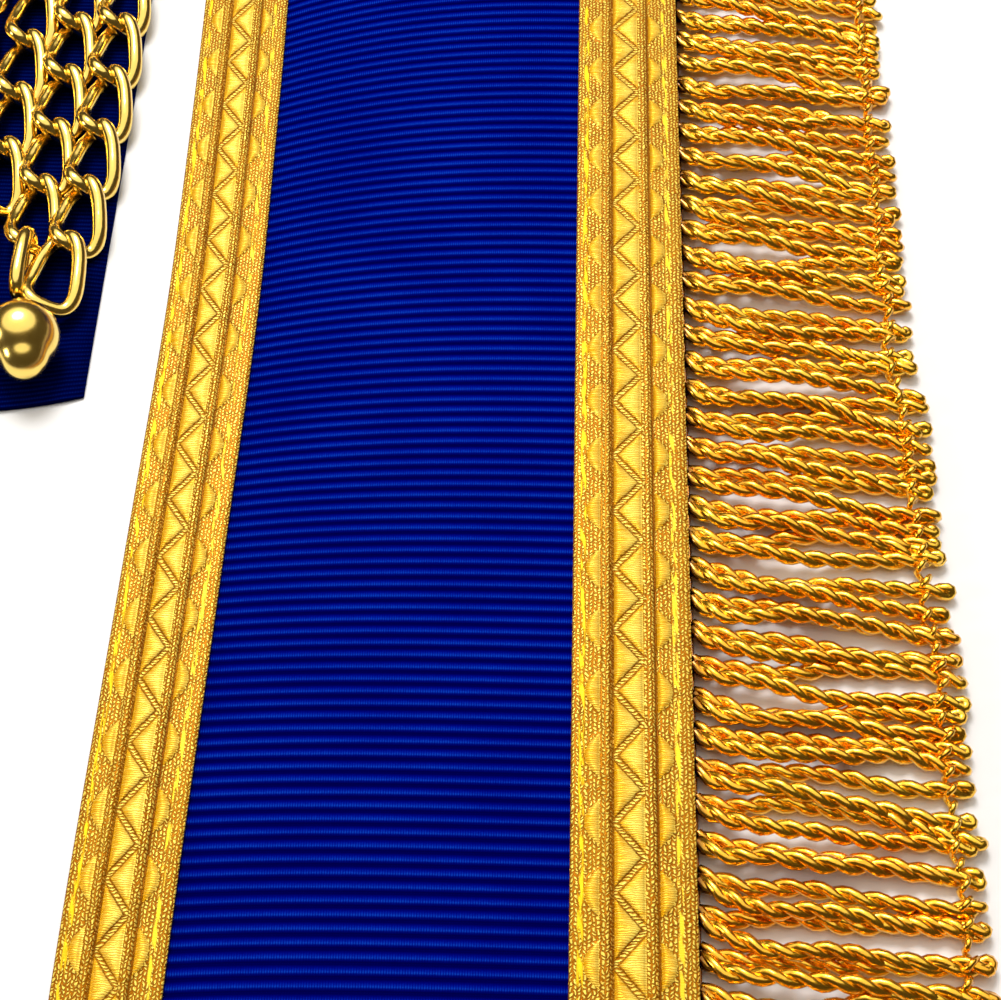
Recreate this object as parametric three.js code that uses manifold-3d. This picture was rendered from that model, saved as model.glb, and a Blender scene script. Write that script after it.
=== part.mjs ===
// A ceremonial apron: a leather panel with a broad ribbon border, woven braid and bullion fringe on
// three sides, two ribbons that each carry five columns of curb chain ending in balls, and a belt.
// Millimetres. +X is the wearer's left side as the apron lies face up, +Y is towards the waist and
// +Z is up out of the face. The origin is at the centre of the foot of the whole piece.
import * as THREE from 'three';
import { mergeVertices } from 'three/addons/utils/BufferGeometryUtils.js';
import Module from 'manifold-3d';

const wasm = await Module();
wasm.setup();

// Driving dimensions
const APRON_WIDTH = 410;
const APRON_HEIGHT = 374;
const PANEL_THICKNESS = 1.6;
const GAP = 0.3;
const BORDER_WIDTH = 102;
const RIBBON_THICKNESS = 1;
const OUTER_BRAID_WIDTH = 21;
const INNER_BRAID_WIDTH = 18;
const BRAID_THICKNESS = 1.4;
const FRINGE_LENGTH = 46;
const FRINGE_THICKNESS = 4.9;
const MITRE_GAP = 0.25;
const WAISTBAND_HEIGHT = 30;
const WAISTBAND_THICKNESS = 1.5;

const BELT_WIDTH = 26;
const BELT_THICKNESS = 2;
const BELT_LEAD = 22;
const BELT_TURN_RADIUS = 42;
const BELT_FLAT_LENGTH = 8;
const BELT_TWIST_LENGTH = 62;
const BELT_STEPS = 60;
const CLASP = { length: 40, height: 28, thickness: 5, corner: 5, bevel: 0.8 };

const TASSEL_WIDTH = 50.8;
const TASSEL_FROM_BORDER = 13;
const TASSEL_END_HEIGHT = 226;
const COLUMN_SPACING = 10.4;
const LINK_PITCH = 14.9;
const LINK_HALF_WIDTH = 3.75;
const LINK_HALF_LENGTH = 8.475;
const LINK_TWIST = THREE.MathUtils.degToRad(45);
const WIRE_RADIUS = 1.3;
const WIRE_SIDES = 4;
const LINK_STEPS = 10;
const FIRST_LINK_ABOVE_END = 41.7;
const LINKS_PER_COLUMN = 5;
const CHAIN_LIFT = 3.1;
const RING_HALF_LENGTH = 7.2;
const RING_HALF_WIDTH = 3.1;
const RING_OVERLAP = 2.05;
const RING_X = 10.8;
const RING_LIFT = 1.4;
const LOOP_LIFT = 0.9;
const LOOP_LEAN = THREE.MathUtils.degToRad(8);
const BAR = { length: 54, height: 5, thickness: 7 };

const BALL_RADIUS = 6.6;
const BALL_NOSE_RADIUS = 3;
const BALL_NOSE_LENGTH = 8.9;
const BALL_SIDES = 14;
const BALL_STEPS = 7;
const NECK_RADIUS = 1.2;
const NECK_LENGTH = 8.6;
const BALL_SWING = 1.8;

// Heights of the layers, each resting on the one below with a thin gap
const RIBBON_Z = PANEL_THICKNESS + GAP;
const BRAID_Z = RIBBON_Z + RIBBON_THICKNESS + GAP;
const CHAIN_BASE_Z = RIBBON_Z + RIBBON_THICKNESS + GAP;
const CHAIN_Z = CHAIN_BASE_Z + CHAIN_LIFT;
const BALL_Z = CHAIN_BASE_Z + BALL_RADIUS;
const BORDER_TOP = APRON_HEIGHT - WAISTBAND_HEIGHT - GAP;
const BELT_Y = APRON_HEIGHT - WAISTBAND_HEIGHT / 2;
const BELT_BACK_Y = BELT_Y + 2 * BELT_TURN_RADIUS;
const HALF_WIDTH = APRON_WIDTH / 2;
const TASSEL_X = HALF_WIDTH - BORDER_WIDTH - TASSEL_FROM_BORDER - TASSEL_WIDTH / 2;

const ribbonBlue = { color: 0x0a2a9a, roughness: 0.6, metalness: 0 };
const tasselBlue = { color: 0x08164f, roughness: 0.8, metalness: 0 };
const braidGold = { color: 0xe0a526, roughness: 0.45, metalness: 0.3 };
const fringeGold = { color: 0xd08a18, roughness: 0.35, metalness: 0.4 };
const chainGold = { color: 0xe8bf58, roughness: 0.15, metalness: 1 };
const leatherWhite = { color: 0xf4f3ef, roughness: 0.7, metalness: 0 };

const group = new THREE.Group();

function addMesh(name, geometry, finish, parent = group) {
  const mesh = new THREE.Mesh(geometry, new THREE.MeshStandardMaterial(finish));
  mesh.name = name;
  parent.add(mesh);
  return mesh;
}

// ---- flat cloth pieces -------------------------------------------------------------------------

function slab(points, thickness, z) {
  const shape = new THREE.Shape(points.map(([x, y]) => new THREE.Vector2(x, y)));
  const geometry = new THREE.ExtrudeGeometry(shape, { depth: thickness, bevelEnabled: false });
  return geometry.translate(0, 0, z);
}

// A strip down one side, between two distances from the panel's edge, cut on the mitre at its foot
function sideStrip(side, near, far) {
  const points = [
    [side * (HALF_WIDTH - near), near + MITRE_GAP],
    [side * (HALF_WIDTH - near), BORDER_TOP],
    [side * (HALF_WIDTH - far), BORDER_TOP],
    [side * (HALF_WIDTH - far), far + MITRE_GAP],
  ];
  return side > 0 ? points : points.reverse();
}

function bottomStrip(near, far) {
  return [
    [-HALF_WIDTH + near + MITRE_GAP, near],
    [HALF_WIDTH - near - MITRE_GAP, near],
    [HALF_WIDTH - far - MITRE_GAP, far],
    [-HALF_WIDTH + far + MITRE_GAP, far],
  ];
}

function addBorder() {
  const strips = {
    left: (near, far) => sideStrip(-1, near, far),
    right: (near, far) => sideStrip(1, near, far),
    bottom: bottomStrip,
  };
  const innerNear = BORDER_WIDTH - INNER_BRAID_WIDTH;
  for (const [place, strip] of Object.entries(strips)) {
    const ribbon = slab(strip(0, BORDER_WIDTH), RIBBON_THICKNESS, RIBBON_Z);
    const outer = slab(strip(0, OUTER_BRAID_WIDTH), BRAID_THICKNESS, BRAID_Z);
    const inner = slab(strip(innerNear, BORDER_WIDTH), BRAID_THICKNESS, BRAID_Z);
    addMesh(`border_ribbon_${place}`, ribbon, ribbonBlue);
    addMesh(`braid_${place}_outer`, outer, braidGold);
    addMesh(`braid_${place}_inner`, inner, braidGold);
  }
}

// The fringe hangs off the panel's edge and fans out round each lower corner
function cornerFan(side, fromDegrees, toDegrees) {
  const steps = 5;
  const fan = [];
  for (let i = 0; i <= steps; i += 1) {
    const angle = THREE.MathUtils.degToRad(fromDegrees + ((toDegrees - fromDegrees) * i) / steps);
    const x = HALF_WIDTH + FRINGE_LENGTH * Math.cos(angle);
    fan.push([side * x, -FRINGE_LENGTH * Math.sin(angle)]);
  }
  return fan;
}

function addFringe() {
  for (const [place, side] of [['left', -1], ['right', 1]]) {
    const points = [
      [side * (HALF_WIDTH + GAP), 0],
      ...cornerFan(side, 44.5, 0),
      [side * (HALF_WIDTH + FRINGE_LENGTH), BORDER_TOP],
      [side * (HALF_WIDTH + GAP), BORDER_TOP],
    ];
    addMesh(`fringe_${place}`, slab(points, FRINGE_THICKNESS, 0), fringeGold);
  }
  const bottom = [
    [HALF_WIDTH, -GAP],
    [-HALF_WIDTH, -GAP],
    ...cornerFan(-1, 45.5, 90),
    ...cornerFan(1, 90, 45.5),
  ];
  addMesh('fringe_bottom', slab(bottom, FRINGE_THICKNESS, 0), fringeGold);
}

function addPanel() {
  const panel = new THREE.BoxGeometry(APRON_WIDTH, APRON_HEIGHT, PANEL_THICKNESS);
  addMesh('apron_panel', panel, leatherWhite).position.set(0, APRON_HEIGHT / 2, PANEL_THICKNESS / 2);
  const band = new THREE.BoxGeometry(APRON_WIDTH, WAISTBAND_HEIGHT, WAISTBAND_THICKNESS);
  addMesh('waistband', band, ribbonBlue).position.set(
    0,
    APRON_HEIGHT - WAISTBAND_HEIGHT / 2,
    RIBBON_Z + WAISTBAND_THICKNESS / 2,
  );
}

// ---- belt --------------------------------------------------------------------------------------

// The belt's centre line on the right-hand side: out sideways, round a half turn, then back behind
function beltPoint(distance) {
  const start = HALF_WIDTH + GAP;
  const turnX = start + BELT_LEAD;
  const turnLength = Math.PI * BELT_TURN_RADIUS;
  if (distance < BELT_LEAD) {
    return { x: start + distance, y: BELT_Y, heading: 0 };
  }
  if (distance < BELT_LEAD + turnLength) {
    const heading = (distance - BELT_LEAD) / BELT_TURN_RADIUS;
    return {
      x: turnX + BELT_TURN_RADIUS * Math.sin(heading),
      y: BELT_Y + BELT_TURN_RADIUS * (1 - Math.cos(heading)),
      heading,
    };
  }
  const x = turnX - (distance - BELT_LEAD - turnLength);
  return { x, y: BELT_BACK_Y, heading: Math.PI };
}

// The strap leaves the apron lying flat and turns up on to its edge, which stays on the ground
function beltGeometry(side) {
  const start = HALF_WIDTH + GAP;
  const straight = start + BELT_LEAD - CLASP.length / 2 - GAP;
  const length = BELT_LEAD + Math.PI * BELT_TURN_RADIUS + straight;
  const strap = new THREE.BoxGeometry(length, BELT_WIDTH, BELT_THICKNESS, BELT_STEPS, 2, 1);
  const places = strap.attributes.position;
  for (let i = 0; i < places.count; i += 1) {
    const distance = places.getX(i) + length / 2;
    const across = places.getY(i);
    const through = places.getZ(i);
    const { x, y, heading } = beltPoint(distance);
    const turned = THREE.MathUtils.smoothstep(
      distance,
      BELT_FLAT_LENGTH,
      BELT_FLAT_LENGTH + BELT_TWIST_LENGTH,
    );
    const roll = (side * turned * Math.PI) / 2;
    const sideways = across * Math.cos(roll) - through * Math.sin(roll);
    const upwards = across * Math.sin(roll) + through * Math.cos(roll);
    const lift = (BELT_WIDTH / 2) * Math.abs(Math.sin(roll)) + (BELT_THICKNESS / 2) * Math.cos(roll);
    const normalX = -Math.sin(heading);
    const normalY = Math.cos(heading);
    places.setXYZ(i, side * x + sideways * normalX, y + side * sideways * normalY, lift + upwards);
  }
  return strap;
}

function claspGeometry() {
  const { length, height, thickness, corner, bevel } = CLASP;
  const x = length / 2 - bevel;
  const y = height / 2 - bevel;
  const shape = new THREE.Shape();
  shape.moveTo(-x + corner, -y);
  shape.lineTo(x - corner, -y);
  shape.absarc(x - corner, -y + corner, corner, -Math.PI / 2, 0);
  shape.absarc(x - corner, y - corner, corner, 0, Math.PI / 2);
  shape.absarc(-x + corner, y - corner, corner, Math.PI / 2, Math.PI);
  shape.absarc(-x + corner, -y + corner, corner, Math.PI, 1.5 * Math.PI);
  const geometry = new THREE.ExtrudeGeometry(shape, {
    depth: thickness - 2 * bevel,
    bevelSize: bevel,
    bevelThickness: bevel,
    bevelSegments: 1,
    curveSegments: 4,
  });
  return geometry.translate(0, 0, bevel - thickness / 2).rotateX(Math.PI / 2);
}

function addBelt() {
  addMesh('belt_left', beltGeometry(-1), ribbonBlue);
  addMesh('belt_right', beltGeometry(1), ribbonBlue);
  addMesh('belt_clasp', claspGeometry(), chainGold).position.set(0, BELT_BACK_Y, CLASP.height / 2);
}

// ---- chain -------------------------------------------------------------------------------------

// A wire ring bent to a link: a long loop twisted about the chain's own direction. The twist's
// hand is +1 or -1, so that one half of a tassel mirrors the other.
function linkGeometry({ halfWidth, halfLength, twist, turn = 0 }, hand) {
  const ringRadius = 10;
  const ring = new THREE.TorusGeometry(ringRadius, WIRE_RADIUS, WIRE_SIDES, LINK_STEPS);
  const squareness = 0.85;
  const soften = (value) => Math.sign(value) * Math.abs(value) ** squareness;
  const centre = (t) => {
    const reach = halfWidth * soften(Math.cos(t));
    const angle = turn + hand * twist * Math.sin(t);
    return new THREE.Vector3(
      reach * Math.cos(angle),
      halfLength * soften(Math.sin(t)),
      reach * Math.sin(angle),
    );
  };
  const places = ring.attributes.position;
  const small = 0.01;
  for (let i = 0; i < places.count; i += 1) {
    const t = Math.atan2(places.getY(i), places.getX(i));
    const outward = Math.hypot(places.getX(i), places.getY(i)) - ringRadius;
    const angle = turn + hand * twist * Math.sin(t);
    const along = centre(t + small).sub(centre(t - small)).normalize();
    const out = new THREE.Vector3(
      (Math.cos(t) * Math.cos(angle)) / halfWidth,
      Math.sin(t) / halfLength,
      (Math.cos(t) * Math.sin(angle)) / halfWidth,
    );
    out.addScaledVector(along, -out.dot(along)).normalize();
    const up = new THREE.Vector3().crossVectors(out, along);
    const place = centre(t).addScaledVector(out, outward).addScaledVector(up, places.getZ(i));
    places.setXYZ(i, place.x, place.y, place.z);
  }
  return ring;
}

const curbLink = {
  halfWidth: LINK_HALF_WIDTH,
  halfLength: LINK_HALF_LENGTH,
  twist: LINK_TWIST,
};
const endLoop = { ...curbLink, halfWidth: 4.3, twist: LINK_TWIST * 0.7, lift: LOOP_LIFT };
const ballRing = {
  halfWidth: RING_HALF_WIDTH,
  halfLength: RING_HALF_LENGTH,
  twist: 0,
  turn: Math.PI / 2,
  lift: RING_LIFT,
};
const topRing = { halfWidth: 3.6, halfLength: 4.6, twist: LINK_TWIST };

function toManifold(geometry) {
  const bare = geometry.clone();
  bare.deleteAttribute('normal');
  bare.deleteAttribute('uv');
  const merged = mergeVertices(bare, 1e-5);
  return new wasm.Manifold(
    new wasm.Mesh({
      numProp: 3,
      vertProperties: new Float32Array(merged.attributes.position.array),
      triVerts: new Uint32Array(merged.index.array),
    }),
  );
}

function toGeometry(solid) {
  const mesh = solid.getMesh();
  const geometry = new THREE.BufferGeometry();
  geometry.setAttribute('position', new THREE.BufferAttribute(mesh.vertProperties, 3));
  geometry.setIndex(new THREE.BufferAttribute(mesh.triVerts, 1));
  return geometry;
}

// One column's links, joined where they bear on each other
function columnGeometry(links, hand) {
  const solids = links.map(({ kind, x, y, lean = 0 }) => {
    const z = CHAIN_Z + (kind.lift ?? 0);
    return toManifold(linkGeometry(kind, hand).rotateZ(lean).translate(x, y, z));
  });
  return toGeometry(solids.reduce((whole, link) => whole.add(link)));
}

const bottomHook = (linkY) => linkY - LINK_HALF_LENGTH + RING_OVERLAP;
const ballRingY = (linkY) => bottomHook(linkY) - RING_HALF_LENGTH;

// Heights are measured from the ribbon's cut end. The outermost columns draw in towards the balls.
function outerColumn(sign) {
  const inward = [1.1, 0.5, 0.1, 0, 0];
  const links = inward.map((shift, i) => ({
    kind: curbLink,
    x: sign * (2 * COLUMN_SPACING + 0.3 - shift),
    y: FIRST_LINK_ABOVE_END + i * LINK_PITCH,
  }));
  links.push({
    kind: endLoop,
    x: sign * 17.2,
    y: FIRST_LINK_ABOVE_END - LINK_PITCH + 0.1,
    lean: -sign * LOOP_LEAN,
  });
  return links;
}

function secondColumn(sign) {
  const links = [0.7, 0.2, 0, 0, 0].map((shift, i) => ({
    kind: curbLink,
    x: sign * (COLUMN_SPACING - shift),
    y: FIRST_LINK_ABOVE_END + i * LINK_PITCH,
  }));
  links.push({ kind: ballRing, x: sign * RING_X, y: ballRingY(FIRST_LINK_ABOVE_END) });
  return links;
}

function middleColumn() {
  const first = FIRST_LINK_ABOVE_END + LINK_PITCH / 2;
  const links = [];
  for (let i = 0; i < LINKS_PER_COLUMN - 1; i += 1) {
    links.push({ kind: curbLink, x: 0, y: first + i * LINK_PITCH });
  }
  const last = first + (LINKS_PER_COLUMN - 2) * LINK_PITCH;
  const hook = last + LINK_HALF_LENGTH - RING_OVERLAP;
  links.push({ kind: topRing, x: 0, y: hook + topRing.halfLength });
  links.push({ kind: ballRing, x: 0, y: ballRingY(first) });
  return links;
}

// A ball on a short neck, with a small rounded nose at its foot, turned about its own axis
function ballGeometry() {
  const profile = [new THREE.Vector2(0, -BALL_NOSE_LENGTH)];
  profile.push(new THREE.Vector2(BALL_NOSE_RADIUS * 0.7, -BALL_NOSE_LENGTH + 0.8));
  const first = -Math.acos((BALL_NOSE_RADIUS * 1.25) / BALL_RADIUS);
  const last = Math.acos(NECK_RADIUS / BALL_RADIUS);
  for (let i = 0; i <= BALL_STEPS; i += 1) {
    const angle = first + ((last - first) * i) / BALL_STEPS;
    profile.push(new THREE.Vector2(BALL_RADIUS * Math.cos(angle), BALL_RADIUS * Math.sin(angle)));
  }
  profile.push(new THREE.Vector2(NECK_RADIUS, NECK_LENGTH), new THREE.Vector2(0, NECK_LENGTH));
  return new THREE.LatheGeometry(profile, BALL_SIDES);
}

function addBall(name, x, linkY, tassel) {
  const ringFoot = ballRingY(linkY) - RING_HALF_LENGTH - WIRE_RADIUS;
  const y = ringFoot - GAP - NECK_LENGTH;
  addMesh(name, ballGeometry(), chainGold, tassel).position.set(x, y, BALL_Z);
}

function addTassel(place, side) {
  const tassel = new THREE.Group();
  tassel.position.set(side * TASSEL_X, TASSEL_END_HEIGHT, 0);
  group.add(tassel);

  const ribbonLength = BORDER_TOP - TASSEL_END_HEIGHT;
  const ribbon = new THREE.BoxGeometry(TASSEL_WIDTH, ribbonLength, RIBBON_THICKNESS);
  const ribbonZ = RIBBON_Z + RIBBON_THICKNESS / 2;
  addMesh(`tassel_ribbon_${place}`, ribbon, tasselBlue, tassel).position.set(0, ribbonLength / 2, ribbonZ);

  const middleLinkY = FIRST_LINK_ABOVE_END + LINK_PITCH / 2;
  addMesh(`chain_${place}_middle`, columnGeometry(middleColumn(), side), chainGold, tassel);
  addBall(`ball_${place}_middle`, 0, middleLinkY, tassel);
  for (const [half, sign] of [['outer', side], ['inner', -side]]) {
    const edge = columnGeometry(outerColumn(sign), sign);
    const second = columnGeometry(secondColumn(sign), sign);
    addMesh(`chain_${place}_${half}`, edge, chainGold, tassel);
    addMesh(`chain_${place}_${half}_second`, second, chainGold, tassel);
    addBall(`ball_${place}_${half}`, sign * (RING_X + BALL_SWING), FIRST_LINK_ABOVE_END, tassel);
  }

  const columnTop =
    FIRST_LINK_ABOVE_END + (LINKS_PER_COLUMN - 1) * LINK_PITCH + LINK_HALF_LENGTH + WIRE_RADIUS;
  const bar = new THREE.BoxGeometry(BAR.length, BAR.height, BAR.thickness);
  addMesh(`chain_bar_${place}`, bar, chainGold, tassel).position.set(
    0,
    columnTop + GAP + BAR.height / 2,
    CHAIN_BASE_Z + BAR.thickness / 2,
  );
}

addPanel();
addBorder();
addFringe();
addBelt();
addTassel('left', -1);
addTassel('right', 1);

// The whole piece is moved so that the origin is at the centre of its foot
group.position.y = (FRINGE_LENGTH - (BELT_BACK_Y + CLASP.thickness / 2)) / 2;

export default group;
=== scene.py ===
# %% [markdown]
# # A dress regalia apron
# A white leather panel is bordered on three sides by a broad ribbed ribbon. Woven gold braid runs
# along both edges of the border, and a fringe of twisted gold cord hangs off its outer edge. Two
# darker ribbons carry columns of gilt chain that end in balls, and a belt closes behind the waist.
#
# The construction model gives every size and place. This script makes each piece again in full
# detail, in the space that its plain solid holds.

# %% Load the frame
import math

import bmesh
import bpy
import numpy as np
from mathutils import Matrix, Vector


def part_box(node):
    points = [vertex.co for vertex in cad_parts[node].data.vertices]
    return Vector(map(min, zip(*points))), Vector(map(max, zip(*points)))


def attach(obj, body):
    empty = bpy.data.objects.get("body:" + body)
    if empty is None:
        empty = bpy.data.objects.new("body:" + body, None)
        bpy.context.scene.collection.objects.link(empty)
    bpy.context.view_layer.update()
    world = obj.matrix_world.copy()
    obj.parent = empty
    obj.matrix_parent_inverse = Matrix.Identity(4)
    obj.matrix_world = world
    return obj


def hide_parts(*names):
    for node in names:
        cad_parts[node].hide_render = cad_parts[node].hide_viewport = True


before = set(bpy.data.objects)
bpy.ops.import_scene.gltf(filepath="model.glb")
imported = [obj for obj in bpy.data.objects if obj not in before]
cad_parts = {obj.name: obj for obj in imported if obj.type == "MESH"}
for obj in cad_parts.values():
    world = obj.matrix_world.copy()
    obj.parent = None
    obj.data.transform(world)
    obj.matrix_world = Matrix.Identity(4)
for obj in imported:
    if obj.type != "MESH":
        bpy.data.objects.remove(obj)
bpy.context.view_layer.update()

MM = 0.001
SEED = 20260
HALVES = (("left", -1), ("right", 1))
scene = bpy.context.scene

# %% [markdown]
# ## The places that everything hangs on
# A few boxes of the frame place all the cloth, because the left half of the apron mirrors the
# right half.

# %% Read the driving places
def box_of(node):
    """The low and the high corner of a node's box."""
    return [Vector(corner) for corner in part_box(node)]


PANEL_LOW, PANEL_HIGH = box_of("apron_panel")
BORDER_LOW, BORDER_HIGH = box_of("border_ribbon_right")
BRAID_LOW, BRAID_HIGH = box_of("braid_right_outer")
TASSEL_LOW, TASSEL_HIGH = box_of("tassel_ribbon_right")
EDGE_X = PANEL_HIGH.x
FOOT_Y = PANEL_LOW.y
BORDER_TOP = BORDER_HIGH.y
BORDER_WIDTH = BORDER_HIGH.x - BORDER_LOW.x
print("border width", round(BORDER_WIDTH, 4), " top", round(BORDER_TOP, 4))

# %% [markdown]
# ## Camera
# The view is a close, three-quarter look down on the right-hand border, with the cut end of the
# right-hand tassel in the upper left corner. So the camera's place is given as distances from the
# border's outer edge and from the tassel's cut end.

# %% Place the camera
CAMERA_HEIGHT = 290 * MM
CAMERA_INSIDE_EDGE = 29.5 * MM
CAMERA_BELOW_TASSEL = 188 * MM
CAMERA_TILT = math.radians(60)
CAMERA_TURN = math.radians(1.7)
LENS = 65.56
NEAREST_SEEN = 10 * MM

camera = bpy.data.objects.new("camera", bpy.data.cameras.new("camera"))
camera.data.lens = LENS
camera.data.clip_start = NEAREST_SEEN
camera.location = (
    EDGE_X - CAMERA_INSIDE_EDGE,
    TASSEL_LOW.y - CAMERA_BELOW_TASSEL,
    BRAID_HIGH.z + CAMERA_HEIGHT,
)
camera.rotation_euler = (math.pi / 2 - CAMERA_TILT, 0, CAMERA_TURN)
scene.collection.objects.link(camera)
scene.camera = camera
print("camera at", [round(value, 3) for value in camera.location])

# %% [markdown]
# ## Floor and light
# Polished gold shows what stands around it, so the room is left rather dark and the soft lamps are
# kept apart: the chain then has both bright streaks and deep browns.

# %% Make the table and the lamps
TABLE_HALF_WIDTH = 1.5
TABLE_PLACE = (0, 0.35, -0.2 * MM)
VIEW_MIDDLE = (0.1, 0.05, 0)
DAYLIGHT, WARM_LIGHT = (1.0, 1.0, 1.0), (1.0, 0.96, 0.9)
ROOM_GLOW, ROOM_GLOW_STRENGTH = (1.0, 0.82, 0.6), 0.075
PALE_ROOM = (0.93, 0.93, 0.92)


def area_light(name, place, target, size, power, colour):
    """A round lamp at a place, turned to face a target."""
    light = bpy.data.lights.new(name, "AREA")
    light.shape, light.size, light.energy, light.color = "DISK", size, power, colour
    lamp = bpy.data.objects.new(name, light)
    lamp.location = place
    lamp.rotation_euler = (Vector(target) - Vector(place)).to_track_quat("-Z", "Y").to_euler()
    scene.collection.objects.link(lamp)


def feed(tree, socket, value):
    """Give a node's input another node's output, a colour or a number."""
    value = getattr(value, "socket", value)
    if isinstance(value, bpy.types.NodeSocket):
        tree.links.new(value, socket)
    else:
        socket.default_value = (*value, 1) if isinstance(value, tuple) else value


def principled(name, values):
    """A new material, with its node tree and its Principled shader, and the values it is given."""
    material = bpy.data.materials.new(name)
    material.use_nodes = True
    shader = material.node_tree.nodes["Principled BSDF"]
    for socket, value in values.items():
        feed(material.node_tree, shader.inputs[socket], value)
    return material, material.node_tree, shader


def make_table():
    bm = bmesh.new()
    bmesh.ops.create_grid(bm, x_segments=1, y_segments=1, size=TABLE_HALF_WIDTH)
    mesh = bpy.data.meshes.new("table")
    bm.to_mesh(mesh)
    bm.free()
    table = bpy.data.objects.new("table", mesh)
    scene.collection.objects.link(table)
    table.location = TABLE_PLACE
    white = principled("table_white", {"Base Color": (0.9, 0.9, 0.9), "Roughness": 0.8})[0]
    table.data.materials.append(white)


make_table()
area_light("key", (-0.05, 0.75, 1.25), VIEW_MIDDLE, 0.62, 15, DAYLIGHT)
area_light("ceiling", (0.0, 1.6, 2.2), (0.0, 1.6, 0), 5.0, 72, WARM_LIGHT)
area_light("left", (-0.95, -0.2, 0.5), VIEW_MIDDLE, 0.35, 3, DAYLIGHT)

world = bpy.data.worlds.new("studio")
world.use_nodes = True
room = world.node_tree
# Seen directly the room is pale, but it lights the gold only dimly
dim = room.nodes["Background"]
pale, seen, rays = (
    room.nodes.new(f"ShaderNode{kind}") for kind in ("Background", "MixShader", "LightPath")
)
for socket, value in (
    (dim.inputs["Color"], ROOM_GLOW),
    (dim.inputs["Strength"], ROOM_GLOW_STRENGTH),
    (pale.inputs["Color"], PALE_ROOM),
    (seen.inputs[0], rays.outputs["Is Camera Ray"]),
    (seen.inputs[1], dim.outputs[0]),
    (seen.inputs[2], pale.outputs[0]),
    (room.nodes["World Output"].inputs[0], seen.outputs[0]),
):
    feed(room, socket, value)
scene.world = world
scene.view_settings.view_transform = "Standard"

# %% [markdown]
# ## Node helpers
# Every finish below is a few lines of arithmetic on the cloth's own coordinates. Math nodes wired
# one by one would hide the formula. So a small wrapper lets a node's output take part in ordinary
# sums, and each operator places one Math node.

# %% Define the node helpers
def add_node(tree, kind, inputs, **settings):
    """Add a shader node with its settings, and feed its inputs by number or name."""
    node = tree.nodes.new(f"ShaderNode{kind}")
    for name, value in settings.items():
        setattr(node, name, value)
    for name, value in inputs.items():
        feed(tree, node.inputs[name], value)
    return node


def math_node(operation):
    """A method that places one Math node."""
    return lambda *values: values[0].apply(operation, *values)


class Signal:
    """A node's output that can be used in arithmetic."""

    def __init__(self, tree, socket):
        self.tree, self.socket = tree, socket

    def apply(self, operation, *values):
        node = add_node(self.tree, "Math", dict(enumerate(values)), operation=operation)
        return Signal(self.tree, node.outputs[0])

    __add__ = __radd__ = math_node("ADD")
    __sub__ = math_node("SUBTRACT")
    __mul__ = __rmul__ = math_node("MULTIPLY")
    __truediv__ = math_node("DIVIDE")
    absolute = math_node("ABSOLUTE")
    floor = math_node("FLOOR")
    fraction = math_node("FRACT")
    power = math_node("POWER")
    largest = math_node("MAXIMUM")
    zigzag = math_node("PINGPONG")

    def __rsub__(self, other):
        return self.apply("SUBTRACT", other, self)

    def hump(self, period):
        """Rounded humps from 0 to 1, one in each period."""
        return self.apply("SINE", self / period * math.pi).absolute()

    def spread(self, low, high, to_low=0.0, to_high=1.0):
        """Map a range on to another, clamped at both ends."""
        values = dict(enumerate((self, low, high, to_low, to_high)))
        return Signal(self.tree, add_node(self.tree, "MapRange", values).outputs[0])

    def past(self, edge, softness):
        """1 where the signal is past an edge and 0 before it, with a soft change between."""
        return ((self - edge) / softness + 0.5).spread(0, 1)

    def within(self, low, high, softness):
        """1 between two edges and 0 outside them, with a soft change at each."""
        return self.past(low, softness) * (high - self).past(0, softness)


# %% [markdown]
# These helpers place the few other nodes that the finishes need: a colour mix, soft noise, a bump
# and the coordinates of the cloth and of the piece.

# %% Define the other nodes
def blend(tree, factor, first, second):
    """Mix two colours, each an output or a colour."""
    inputs = {0: factor, 6: first, 7: second}
    return add_node(tree, "Mix", inputs, data_type="RGBA").outputs[2]


def noise(tree, first, second, detail=2.0):
    """Soft noise over a pair of signals, one lump to each unit."""
    place = add_node(tree, "CombineXYZ", {0: first, 1: second}).outputs[0]
    values = {"Scale": 1.0, "Detail": detail, "Vector": place}
    return Signal(tree, add_node(tree, "TexNoise", values).outputs["Fac"])


def dress(tree, shader, tone, height, distance, strength=1.0):
    """Give the shader its colour and its small relief."""
    values = {"Distance": distance, "Strength": strength, "Height": height}
    feed(tree, shader.inputs["Base Color"], tone)
    feed(tree, shader.inputs["Normal"], add_node(tree, "Bump", values).outputs["Normal"])


def first_two(tree, place):
    """The first two values of a place as signals."""
    split = add_node(tree, "SeparateXYZ", {0: place})
    return Signal(tree, split.outputs[0]), Signal(tree, split.outputs[1])


def map_coordinates(tree, uv_map):
    """A UV map's two values as signals."""
    return first_two(tree, add_node(tree, "UVMap", {}, uv_map=uv_map).outputs[0])


def object_place(tree):
    """Where each point is on the piece, in metres."""
    return add_node(tree, "TexCoord", {}).outputs["Object"]


# %% [markdown]
# An effect that serves several finishes is a node group: it is built once, and each material
# places it with its own values. The first one is a mottling that fills space, for leather pores,
# the ripple of gilt metal and the changing tone of the gold cord.

# %% Define the shared mottling
def start_group(name, inputs, outputs):
    """A new shader node group with named values in and out."""
    tree = bpy.data.node_groups.new(name, "ShaderNodeTree")
    for direction, names in (("INPUT", inputs), ("OUTPUT", outputs)):
        for socket in names:
            tree.interface.new_socket(socket, in_out=direction, socket_type="NodeSocketFloat")
    entrance = tree.nodes.new("NodeGroupInput")
    leaving = tree.nodes.new("NodeGroupOutput")
    return tree, [Signal(tree, entrance.outputs[socket]) for socket in inputs], leaving


def place_group(tree, group, *values):
    """Place a group in a material, and return its outputs as signals."""
    node = add_node(tree, "Group", dict(enumerate(values)), node_tree=group)
    return [Signal(tree, socket) for socket in node.outputs]


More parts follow.
